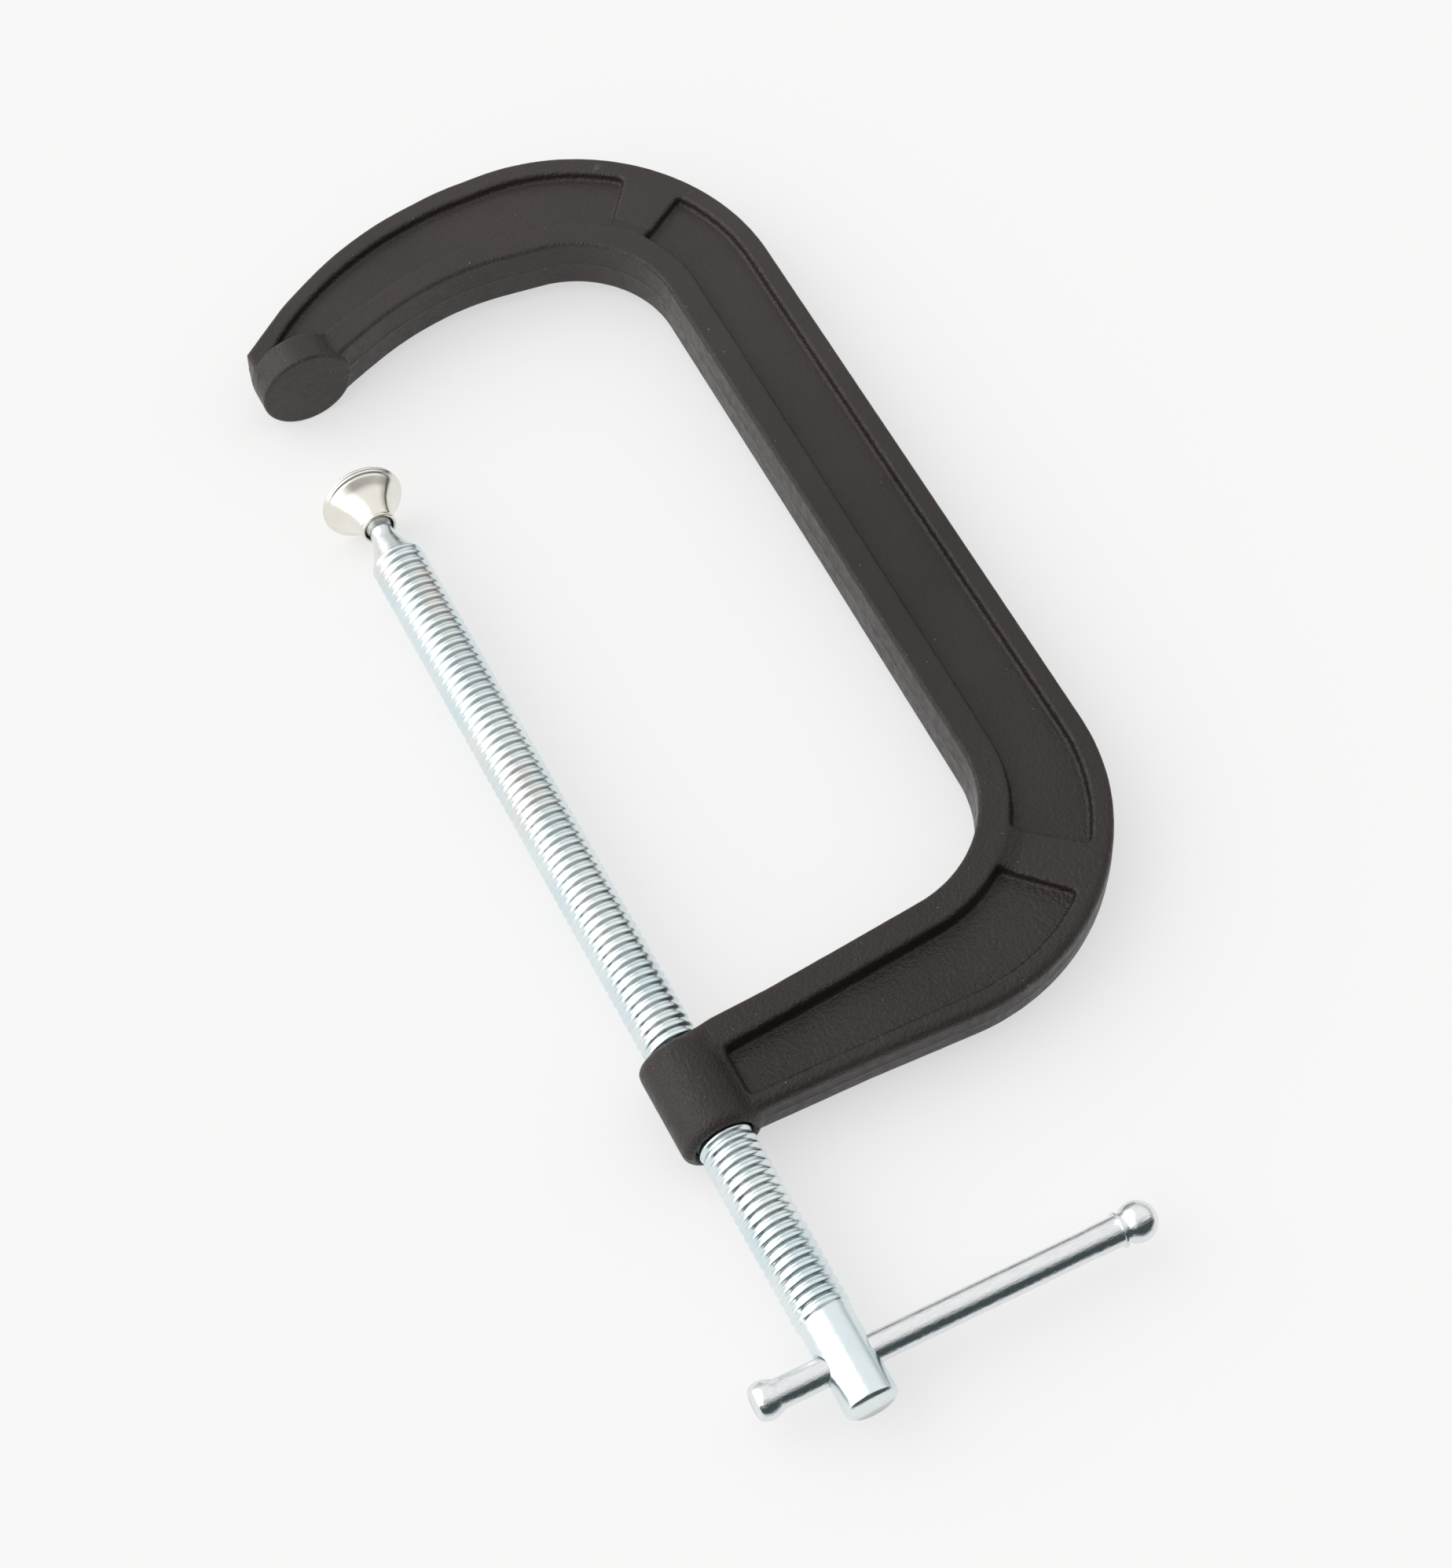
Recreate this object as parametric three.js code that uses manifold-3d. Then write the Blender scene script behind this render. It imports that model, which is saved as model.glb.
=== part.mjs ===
// C clamp, nominal 8 in opening by 4 in throat: cast C frame, feed screw, swivel pad and sliding T-bar.
// Millimetres, +Z up with the clamp lying on its side. The origin is where the screw's axis meets the
// anvil's face, +X runs along the screw from anvil to handle, and +Y runs from the screw to the spine.
import * as THREE from 'three';
import { mergeVertices } from 'three/addons/utils/BufferGeometryUtils.js';
import Module from 'manifold-3d';

const wasm = await Module();
wasm.setup();
const { Manifold, Mesh: ManifoldMesh } = wasm;

// ---- driving dimensions ----
const frame = {
  innerHalf: 8.0,          // half thickness of the flange round the throat
  outerHalf: 6.5,          // half thickness of the outer flange and the corner ribs
  webHalf: 4.0,            // half thickness at the pocket floors
  innerWidth: 7.6,         // width of the inner flange, seen from the side
  outerWidth: 5.4,         // width of the outer flange
  edge: 1.4,               // rounding of the plate edges
};
const cornerA = { xIn: 19.2, yIn: 70.4, rIn: 29.0, x: 17.4, y: 70.4, r: 59.3 };    // corner above the anvil
const cornerB = { xIn: 181.2, yIn: 65.2, rIn: 33.5, x: 185.5, y: 69.1, r: 61.3 };   // above the boss
const anvil = { r: 12.5, y: 1.8, back: -8.9, chamfer: 1.0 };
const boss = { r: 10.35, x0: 220.5, x1: 247.6, chamfer: 2.2, bore: 7.23, mouth: 8.0, mouthDepth: 1.1 };
const screw = {
  pitch: 2.54, r: 7.145, threadStart: 61.8, threadEnd: 297.0, headR: 6.65, end: 320.4,
  neckR: 3.1, tipR: 2.4, holeX: 308.0, holeR: 3.85,
};
const pad = { x: 47.0, droop: 10.5, ballR: 4.4, rimR: 11.0, faceR: 9.5, front: 9.45, faceT: 1.5, bore: 2.48 };
const bar = { r: 3.63, y0: -23.4, y1: 80.6, ballR: 5.0, headR: 4.75, headL: 6.4 };

// ---- helpers ----
const rad = THREE.MathUtils.degToRad;
const v2 = (x, y) => new THREE.Vector2(x, y);

/** Points on a circular arc, angles in degrees. */
function arc(cx, cy, r, a0, a1, n) {
  return Array.from({ length: n + 1 }, (_, i) => {
    const a = rad(a0 + ((a1 - a0) * i) / n);
    return v2(cx + r * Math.cos(a), cy + r * Math.sin(a));
  });
}

/** Points on a smooth curve through the given stations. */
const smooth = (stations, n) => new THREE.SplineCurve(stations.map(([x, y]) => v2(x, y))).getPoints(n);

/** Flat plate from a side outline, centred on the parting plane, with rounded edges. */
function plate(points, half, edge) {
  const shape = new THREE.Shape(points);
  const g = new THREE.ExtrudeGeometry(shape, {
    depth: 2 * (half - edge), bevelEnabled: edge > 0, bevelThickness: edge, bevelSize: edge,
    bevelOffset: -edge, bevelSegments: 2, steps: 1, curveSegments: 1,
  });
  return g.translate(0, 0, -(half - edge));
}

/** Turned body about an axis parallel to X. Profile entries are [x, radius]. */
function turned(profile, segments = 48) {
  const g = new THREE.LatheGeometry(profile.map(([x, r]) => v2(r, x)), segments);
  return g.rotateZ(-Math.PI / 2);
}

function solid(geometry) {
  const g = geometry.clone();
  g.deleteAttribute('normal');
  g.deleteAttribute('uv');
  const m = mergeVertices(g, 1e-4);
  const mesh = new ManifoldMesh({
    numProp: 3,
    vertProperties: new Float32Array(m.attributes.position.array),
    triVerts: new Uint32Array(m.index.array),
  });
  mesh.merge();
  const s = new Manifold(mesh);
  return s.volume() < 0 ? s.mirror([1, 0, 0]).mirror([1, 0, 0]) : s;
}

function toGeometry(manifold) {
  const mesh = manifold.getMesh();
  const g = new THREE.BufferGeometry();
  const p = new Float32Array(mesh.numVert * 3);
  for (let i = 0; i < mesh.numVert; i++) {
    for (let k = 0; k < 3; k++) p[3 * i + k] = mesh.vertProperties[i * mesh.numProp + k];
  }
  g.setAttribute('position', new THREE.BufferAttribute(p, 3));
  g.setIndex(new THREE.BufferAttribute(new Uint32Array(mesh.triVerts), 1));
  g.computeVertexNormals();
  return g;
}

// ---- frame outline ----
// Wall of the throat, from the anvil up the arm, along the spine and down to the boss.
const throat = (d) => [
  ...smooth([[-1.4 - d, 12], [-4.5 - d, 19.7], [-8.0 - d, 29.5], [-10.4 - d, 39.3], [-11.7 - d, 50],
    [-11.5 - d, 60], [-10.1 - d, cornerA.yIn]], 18),
  ...arc(cornerA.xIn, cornerA.yIn, cornerA.rIn + d, 172, 90, 12),
  v2(105, 99.3 + d),
  ...arc(cornerB.xIn, cornerB.yIn, cornerB.rIn + d, 90, 5.5, 12),
  v2(216.9 + d, 45), v2(218.8 + d, 25), v2(219.6 + d, 10),
];
// Outside of the frame, from the boss back to the anvil's tip.
const outside = [
  v2(245.5, 10), v2(245.8, 40), v2(246.5, 60),
  ...arc(cornerB.x, cornerB.y, cornerB.r, 0, 90, 18),
  ...arc(cornerA.x, cornerA.y, cornerA.r, 90, 179, 20),
  ...smooth([[-42.0, 62], [-41.4, 54], [-38.9, 38.7], [-33.7, 23.1], [-25.8, 7.8], [-21.0, 0.6],
    [-13.6, -9.6]], 16),
];
const silhouette = [
  ...throat(0), v2(boss.x0 + 1, -2), v2(boss.x1 - 1, -2), ...outside, v2(-6, -9.6), v2(-3, 0),
];
const innerBand = [
  ...throat(0), v2(boss.x0 + 1, -1), v2(boss.x1 - 1.2, -1), v2(boss.x1 - 1.2, 9), v2(229, 9.4),
  ...throat(frame.innerWidth).reverse(), v2(-6, 4), v2(-3, 4),
];

// ---- pockets, one set per side ----
const iw = frame.innerWidth, ow = frame.outerWidth;
const armPocket = [
  ...smooth([[-36.4, 62], [-36.1, 54], [-33.6, 38.7], [-28.5, 23.2], [-21.0, 8.8],
    [-14.6, 0.2], [-8.0, -6.5]], 14),
  ...smooth([[-8.0, 9.5], [-11.2, 14], [-14.9, 29.5], [-17.7, 39.3], [-19.0, 50],
    [-18.9, 60], [-17.6, 69.7]], 14),
  ...arc(cornerA.xIn, cornerA.yIn, cornerA.rIn + iw, 176, 138, 6),
  ...arc(cornerA.x, cornerA.y, cornerA.r - ow, 138, 178, 10),
];
const spinePocket = [
  ...arc(cornerA.xIn, cornerA.yIn, cornerA.rIn + iw, 123, 90, 6),
  ...arc(cornerB.xIn, cornerB.yIn, cornerB.rIn + iw, 90, 54, 7),
  ...arc(cornerB.x, cornerB.y, cornerB.r - ow, 54, 90, 9),
  ...arc(cornerA.x, cornerA.y, cornerA.r - ow, 90, 121, 8),
];
const lowerPocket = [
  v2(228.0, 9.2), v2(241.2, 9.2), v2(241.3, 60),
  ...arc(cornerB.x, cornerB.y, cornerB.r - ow, 0, 40, 9),
  ...arc(cornerB.xIn, cornerB.yIn, cornerB.rIn + iw, 38, 5.5, 8),
];
const pocketCut = (points, side) => {
  const shape = new THREE.Shape(points);
  const g = new THREE.ExtrudeGeometry(shape, { depth: 20, bevelEnabled: false, curveSegments: 1 });
  return solid(g.translate(0, 0, side > 0 ? frame.webHalf : -20 - frame.webHalf));
};

function buildFrame() {
  const anvilDisc = turned([
    [anvil.back, 0], [anvil.back, anvil.r - 0.8],
    [anvil.back + 0.8, anvil.r], [-anvil.chamfer, anvil.r], [0, anvil.r - anvil.chamfer], [0, 0],
  ], 56).translate(0, anvil.y, 0);
  const bossBody = turned([
    [boss.x0, 0], [boss.x0, boss.r - boss.chamfer], [boss.x0 + boss.chamfer, boss.r],
    [boss.x1 - boss.chamfer, boss.r], [boss.x1, boss.r - boss.chamfer], [boss.x1, 0],
  ], 56);
  const bore = turned([
    [boss.x0 - 2, 0], [boss.x0 - 2, boss.mouth], [boss.x0, boss.mouth], [boss.x0 + boss.mouthDepth, boss.bore],
    [boss.x1 - boss.mouthDepth, boss.bore], [boss.x1, boss.mouth], [boss.x1 + 2, boss.mouth], [boss.x1 + 2, 0],
  ], 56);
  let body = solid(plate(silhouette, frame.outerHalf, frame.edge));
  for (const side of [1, -1]) {
    for (const points of [armPocket, spinePocket, lowerPocket]) body = body.subtract(pocketCut(points, side));
  }
  return body
    .add(solid(plate(innerBand, frame.innerHalf, frame.edge)))
    .add(solid(anvilDisc))
    .add(solid(bossBody))
    .subtract(solid(bore));
}

// ---- spindle: neck and journal, plain cylinder over the thread, cross-drilled head ----
function buildSpindle() {
  const s = screw;
  const body = turned([
    [pad.x - 2.2, 0], [pad.x - 2.2, s.tipR - 0.4], [pad.x - 1.8, s.tipR], [pad.x + 3.72, s.tipR],
    [pad.x + 3.8, s.neckR], [52.0, s.neckR + 0.1], [53.8, s.neckR + 0.45], [55.6, 4.2], [57.4, 5.0], [59.0, 5.75],
    [60.5, 6.5], [s.threadStart, s.r], [s.threadEnd, s.r], [s.threadEnd + 1.2, s.headR], [s.end - 1.1, s.headR],
    [s.end - 0.3, s.headR - 0.6], [s.end, s.headR - 1.3], [s.end, 0],
  ], 56);
  const hole = new THREE.CylinderGeometry(s.holeR, s.holeR, 30, 40).translate(s.holeX, 0, 0);
  return solid(body).subtract(solid(hole));
}

// ---- swivel pad ----
function buildBall() {
  const ball = new THREE.SphereGeometry(pad.ballR, 40, 24);
  const seat = turned([[-2.5, 0], [-2.5, pad.bore], [8, pad.bore], [8, 0]], 40);
  return solid(ball).subtract(solid(seat)).translate([pad.x, 0, 0]);
}
const droop = (g) => g.rotateY(rad(-pad.droop)).translate(pad.x, 0, 0);
const padShell = droop(turned([
  [-9.05, 9.8], [-9.15, 10.4], [-8.65, pad.rimR], [-8.05, pad.rimR], [-7.6, 10.6], [-7.45, 10.1], [-6.75, 9.75],
  [-5.95, 8.8], [-4.45, 7.4], [-2.45, 6.3], [-0.25, 5.55], [1.75, 4.95], [2.4, 4.75], [2.95, 4.8], [3.3, 4.5],
  [3.25, 4.1], [2.8, 3.92], [2.1, 4.2], [0.8, 4.85], [-1.2, 5.2], [-3.2, 5.75], [-4.6, 6.6], [-6.0, 7.9],
  [-7.0, 9.1], [-7.6, 9.8], [-9.05, 9.8],
], 56));
const padFace = droop(turned([
  [-pad.front, 0], [-pad.front, pad.faceR - 0.5], [-pad.front + 0.5, pad.faceR],
  [-pad.front + pad.faceT, pad.faceR], [-pad.front + pad.faceT, 0],
], 56));

// ---- handle: one bar with a ball at one end and an upset head at the other ----
function buildHandle() {
  const b = bar;
  const ballY = b.y1 - b.ballR;
  const ball = Array.from({ length: 12 }, (_, i) => {
    const a = rad(-42 + (132 * (i + 1)) / 12);
    return [ballY + b.ballR * Math.sin(a), b.ballR * Math.cos(a)];
  });
  const profile = [
    [b.y0, 0], [b.y0, b.headR - 1.2], [b.y0 + 0.9, b.headR - 0.2], [b.y0 + 2.6, b.headR],
    [b.y0 + b.headL - 1.6, b.headR - 0.2], [b.y0 + b.headL, b.r], [ballY - 12, b.r],
    [ballY - 11, b.r + 0.12], [ballY - 5.4, b.r + 0.12], [ballY - 5.2, b.r + 0.7], [ballY - 4.3, b.r + 0.7],
    [ballY - 4.0, b.r + 0.12], ...ball.slice(0, -1), [b.y1, 0],
  ];
  const g = new THREE.LatheGeometry(profile.map(([t, r]) => v2(r, t)), 40);
  return g.translate(screw.holeX, 0, 0);
}

// ---- materials ----
const paint = new THREE.MeshStandardMaterial({ color: 0x3c3937, metalness: 0.1, roughness: 0.55 });
const zinc = new THREE.MeshStandardMaterial({ color: 0xc3ced2, metalness: 0.95, roughness: 0.25 });
const steel = new THREE.MeshStandardMaterial({ color: 0xb9b9b6, metalness: 0.95, roughness: 0.3 });
const nickel = new THREE.MeshStandardMaterial({ color: 0xcfcabb, metalness: 0.95, roughness: 0.25 });

const part = new THREE.Group();
part.name = 'c_clamp';
function add(name, geometry, material) {
  const mesh = new THREE.Mesh(geometry, material);
  mesh.name = name;
  part.add(mesh);
}
add('frame', toGeometry(buildFrame()), paint);
add('spindle', toGeometry(buildSpindle()), zinc);
add('spindle_ball', toGeometry(buildBall()), steel);
add('pad_shell', toGeometry(solid(padShell)), nickel);
add('pad_face', toGeometry(solid(padFace)), nickel);
add('handle_bar', toGeometry(solid(buildHandle())), zinc);

export default part;
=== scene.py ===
"""C clamp lying on its side: cast C frame, rolled feed screw, swivel pad and sliding T-bar.

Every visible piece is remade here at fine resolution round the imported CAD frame. Outlines and sections
are in millimetres in the CAD frame, with +X along the screw, +Y towards the spine and +Z up.
"""

import math

import bmesh
import bpy
import numpy as np
from mathutils import Matrix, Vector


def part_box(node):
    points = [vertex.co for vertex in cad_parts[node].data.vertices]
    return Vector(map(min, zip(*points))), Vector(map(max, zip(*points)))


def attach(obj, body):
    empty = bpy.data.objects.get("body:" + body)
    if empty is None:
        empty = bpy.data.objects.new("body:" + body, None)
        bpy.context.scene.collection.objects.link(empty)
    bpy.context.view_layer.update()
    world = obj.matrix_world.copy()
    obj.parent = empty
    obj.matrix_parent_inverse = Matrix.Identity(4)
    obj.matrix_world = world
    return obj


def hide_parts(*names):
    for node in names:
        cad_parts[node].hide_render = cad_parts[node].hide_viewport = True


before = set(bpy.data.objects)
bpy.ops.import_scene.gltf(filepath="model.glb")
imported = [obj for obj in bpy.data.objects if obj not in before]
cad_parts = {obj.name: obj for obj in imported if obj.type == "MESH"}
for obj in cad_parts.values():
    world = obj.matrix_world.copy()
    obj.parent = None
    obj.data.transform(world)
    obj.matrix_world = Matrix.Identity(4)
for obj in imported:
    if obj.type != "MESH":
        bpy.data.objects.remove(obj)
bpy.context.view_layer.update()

MM = 0.001

# ---- driving dimensions of the cast frame ----
INNER_HALF = 8.0        # half thickness of the flange round the throat
OUTER_HALF = 6.5        # half thickness of the outer flange and the corner ribs
WEB_HALF = 4.0          # half thickness at the pocket floors
INNER_WIDTH = 7.6       # width of the inner flange
OUTER_WIDTH = 5.4       # width of the outer flange
WALL_DRAFT = 0.02       # lean of the outer and throat walls, per unit of height
POCKET_DRAFT = 0.16     # lean of the pocket walls
CORNER_A = {"x_in": 19.2, "y_in": 70.4, "r_in": 29.0, "x": 17.4, "y": 70.4, "r": 59.3}
CORNER_B = {"x": 185.5, "x_in": 181.2, "y_in": 65.2, "r_in": 33.5, "y": 69.1, "r": 61.3}
ANVIL = {"r": 12.5, "y": 1.8, "back": -8.9}
FLANGE_FALL = {"start": 0.5, "run": 5.5}    # where the inner flange falls away to the outer height
FLASH = {"height": 0.09, "lower": 0.04, "half": 0.42}
SKIN = 0.012            # height of the casting's unevenness
# Reach over which two faces of the frame round into each other.
ROUND = {
    "edge": 1.2, "edge_gain": 1.6, "pocket_floor": 0.9, "pocket_edge": 1.0,
    "flange": 1.2, "flange_edge": 1.3, "flange_foot": 1.2,
    "disc_face": 0.9, "disc_back": 0.8, "disc_foot": 1.0,
    "boss_end": 3.0, "boss_foot": 1.3, "mouth": 0.5,
}
BOSS = {"r": 10.35, "x0": 220.5, "x1": 247.6, "bore": 7.32, "mouth": 8.0}

# ---- driving dimensions of the screw, pad and bar ----
SCREW = {"pitch": 2.54, "r": 7.145, "depth": 0.8, "valley": 1.6, "start": 61.8, "end": 297.0}
HEAD = {"r": 6.65, "end": 320.4, "hole_x": 308.0, "hole_r": 3.9}
PAD = {"x": 47.0, "droop": 10.5, "ball_r": 4.4, "bore": 2.5}
BAR = {"r": 3.63, "y0": -23.9, "y1": 80.2, "ball_r": 5.0}

# ---- fineness of the meshes ----
GRID = 0.5           # spacing of the frame's grid
MAX_TRIANGLES = 190_000
PER_PITCH = 16        # rings along one pitch of the thread
SEGMENTS = {"screw": 60, "hole": 48, "pad": 96, "ball": 64, "bar": 64}


# ---------------------------------------------------------------- outlines
def arc(cx, cy, r, a0, a1, n=36):
    """Points on a circular arc, angles in degrees."""
    a = np.radians(np.linspace(a0, a1, n + 1))
    return np.c_[cx + r * np.cos(a), cy + r * np.sin(a)]


def smooth(stations, n=60):
    """Points on a smooth curve through the given stations."""
    p = np.array(stations, float)
    p = np.vstack([p[0], p, p[-1]])
    spans = len(p) - 3
    points = []
    for t in np.linspace(0, spans, n + 1):
        i = min(int(t), spans - 1)
        w = t - i
        a, b, c, d = p[i:i + 4]
        v0, v1 = (c - a) / 2, (d - b) / 2
        cubic = 2 * b - 2 * c + v0 + v1
        square = -3 * b + 3 * c - 2 * v0 - v1
        points.append(cubic * w ** 3 + square * w ** 2 + v0 * w + b)
    return np.array(points)


def rounded(points, reach=1.3, spacing=1.0):
    """The same closed outline with its corners rounded over about reach."""
    ring = np.vstack([points, points[:1]])
    run = np.r_[0, np.cumsum(np.linalg.norm(np.diff(ring, axis=0), axis=1))]
    n = int(run[-1] / spacing)
    at = np.arange(n) * run[-1] / n
    even = np.stack([np.interp(at, run, ring[:, m]) for m in (0, 1)], 1)
    keep = np.exp(-2 * (math.pi * reach * np.fft.fftfreq(n, run[-1] / n)) ** 2)
    return np.fft.ifft(np.fft.fft(even, axis=0) * keep[:, None], axis=0).real


def throat():
    """Wall of the throat, from the anvil up the arm, along the spine and down to the boss."""
    a, b = CORNER_A, CORNER_B
    arm = [
        (-1.4, 12), (-4.5, 19.7), (-8.0, 29.5), (-10.4, 39.3), (-11.7, 50), (-11.5, 60),
        (-10.1, a["y_in"]),
    ]
    return np.vstack([
        smooth(arm), arc(a["x_in"], a["y_in"], a["r_in"], 172, 90), [(105, 99.3)],
        arc(b["x_in"], b["y_in"], b["r_in"], 90, 5.5), [(216.9, 45), (218.8, 25), (219.6, 10)],
    ])


def outside():
    """Outside of the frame, from the boss back to the anvil's tip."""
    a, b = CORNER_A, CORNER_B
    arm = [
        (-42.0, 62), (-41.4, 54), (-38.9, 38.7), (-33.7, 23.1), (-25.8, 7.8), (-21.0, 0.6),
        (-13.6, -9.6),
    ]
    return np.vstack([
        [(245.5, 10), (245.8, 40), (246.5, 60)], arc(b["x"], b["y"], b["r"], 0, 90, 60),
        arc(a["x"], a["y"], a["r"], 90, 179, 60), smooth(arm),
    ])


def silhouette():
    """Closed outline of the whole frame."""
    tip = [(-6, -9.6), (-3, 0)]
    return np.vstack([throat(), [(BOSS["x0"] + 1, -2), (BOSS["x1"] - 1, -2)], outside(), tip])


def pockets():
    """The three sunk panels: arm, spine and lower arm."""
    a, b, iw, ow = CORNER_A, CORNER_B, INNER_WIDTH, OUTER_WIDTH
    arm_out = [
        (-36.4, 62), (-36.1, 54), (-33.6, 38.7), (-28.5, 23.2), (-21.0, 8.8), (-14.6, 0.2),
        (-8.0, -6.5),
    ]
    arm_in = [
        (-8.0, 9.5), (-11.2, 14), (-14.9, 29.5), (-17.7, 39.3), (-19.0, 50), (-18.9, 60),
        (-17.6, 69.7),
    ]
    arm = np.vstack([
        smooth(arm_out), smooth(arm_in), arc(a["x_in"], a["y_in"], a["r_in"] + iw, 176, 138),
        arc(a["x"], a["y"], a["r"] - ow, 138, 178),
    ])
    spine = np.vstack([
        arc(a["x_in"], a["y_in"], a["r_in"] + iw, 123, 90),
        arc(b["x_in"], b["y_in"], b["r_in"] + iw, 90, 54),
        arc(b["x"], b["y"], b["r"] - ow, 54, 90), arc(a["x"], a["y"], a["r"] - ow, 90, 121),
    ])
    lower = np.vstack([
        [(228.0, 9.2), (241.2, 9.2), (241.3, 60)], arc(b["x"], b["y"], b["r"] - ow, 0, 40),
        arc(b["x_in"], b["y_in"], b["r_in"] + iw, 38, 5.5),
    ])
    return [rounded(outline) for outline in (arm, spine, lower)]


# ---------------------------------------------------------------- distance fields
def distance(points, x, y):
    """Distance from each (x, y) to an open run of points."""
    best = np.full(x.shape, 1e9, np.float32)
    for (ax, ay), (bx, by) in zip(points[:-1], points[1:]):
        ex, ey = bx - ax, by - ay
        length2 = ex * ex + ey * ey
        if length2 < 1e-9:
            continue
        t = np.clip(((x - ax) * ex + (y - ay) * ey) / length2, 0, 1)
        best = np.minimum(best, (x - ax - t * ex) ** 2 + (y - ay - t * ey) ** 2)
    return np.sqrt(best)


def signed(points, x, y):
    """Distance to a closed outline, negative inside it."""
    ring = np.vstack([points, points[:1]])
    inside = np.zeros(x.shape, bool)
    for (ax, ay), (bx, by) in zip(ring[:-1], ring[1:]):
        if ay != by:
            inside ^= ((ay > y) != (by > y)) & (x < (bx - ax) * (y - ay) / (by - ay) + ax)
    d = distance(ring, x, y)
    return np.where(inside, -d, d)


def smax(a, b, k):
    """Greater of two distances, with the corner between them rounded over about k."""
    return np.maximum(a, b) + np.maximum(k - np.abs(a - b), 0) ** 2 / (4 * k)


def smin(a, b, k):
    """Lesser of two distances, with the corner between them filleted over about k."""
    return np.minimum(a, b) - np.maximum(k - np.abs(a - b), 0) ** 2 / (4 * k)


def step(t):
    """Smooth step from 0 to 1."""
    t = np.clip(t, 0, 1)
    return t * t * (3 - 2 * t)


def frame_field(x, y, z):
    """Distance to the casting's surface, the same on both sides of the parting plane."""
    z = np.abs(z)
    into = distance(throat(), x, y)
    walls = signed(silhouette(), x, y) + WALL_DRAFT * z
    ramp = 1 - step((into - INNER_WIDTH + FLANGE_FALL["start"]) / FLANGE_FALL["run"])
    # The outer edges are rounder on the lower arm.
    edge = ROUND["edge"] + ROUND["edge_gain"] * step((x - 205) / 25)
    body = smax(walls, z - OUTER_HALF - (INNER_HALF - OUTER_HALF) * ramp, edge)
    for points in pockets():
        sunk = signed(points, x, y)
        cut = smax(sunk - POCKET_DRAFT * (z - OUTER_HALF), WEB_HALF - z, ROUND["pocket_floor"])
        body = smax(body, -cut, ROUND["pocket_edge"])

    lean = into - INNER_WIDTH - POCKET_DRAFT * (INNER_HALF - z)
    inner = smax(smax(walls, lean, ROUND["flange"]), z - INNER_HALF, ROUND["flange_edge"])
    body = smin(body, inner, ROUND["flange_foot"])

    # The anvil's disc, and the flat that ends the arm in line with its face.
    round_anvil = np.sqrt((y - ANVIL["y"]) ** 2 + z ** 2) - ANVIL["r"]
    disc = smax(round_anvil, x, ROUND["disc_face"])
    disc = smax(disc, ANVIL["back"] - x, ROUND["disc_back"])
    body = smin(body, disc, ROUND["disc_foot"])
    body = np.where((x < 20) & (y < 16), smax(body, x, ROUND["disc_face"]), body)

    axis = np.sqrt(y ** 2 + z ** 2)
    middle, half = (BOSS["x0"] + BOSS["x1"]) / 2, (BOSS["x1"] - BOSS["x0"]) / 2
    ends = np.abs(x - middle) - half + 0.07 * z
    boss = smax(axis - BOSS["r"], ends, ROUND["boss_end"])
    body = smin(body, boss, ROUND["boss_foot"])

    # Flash left along the parting plane, uneven along its length and lower on the boss.
    uneven = 0.8 + 0.2 * np.sin(0.13 * x + 1.7 * np.sin(0.07 * y))
    machined = step((x + 2.5) / 1.5) * step((14 - y) / 2) * (x < 20)
    ridge = FLASH["height"] - FLASH["lower"] * step((16 - y) / 4) * (x > BOSS["x0"] - 6)
    body = body - ridge * uneven * (1 - machined) * np.exp(-(z / FLASH["half"]) ** 2)

    # Slight unevenness of a sand-cast skin, off the machined face.
    skin = np.sin(0.9 * x + 1.1 * np.sin(0.5 * y)) * np.sin(0.8 * y + 0.7 * z + 1.3 * np.sin(0.4 * x))
    body = body + SKIN * skin * (1 - machined)

    # The tapped bore, with a countersunk mouth at each end.
    mouth = np.exp(-(np.maximum(ends, -9) / 0.9) ** 2)
    bore = axis - BOSS["bore"] - (BOSS["mouth"] - BOSS["bore"]) * mouth
    return np.where(x > BOSS["x0"] - 20, smax(body, -bore, ROUND["mouth"]), body)


# ---------------------------------------------------------------- surface from a field
CORNERS = [(i, j, k) for i in (0, 1) for j in (0, 1) for k in (0, 1)]
EDGES = [
    (a, b) for a in CORNERS for b in CORNERS
    if sum(abs(p - q) for p, q in zip(a, b)) == 1 and a < b
]


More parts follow.
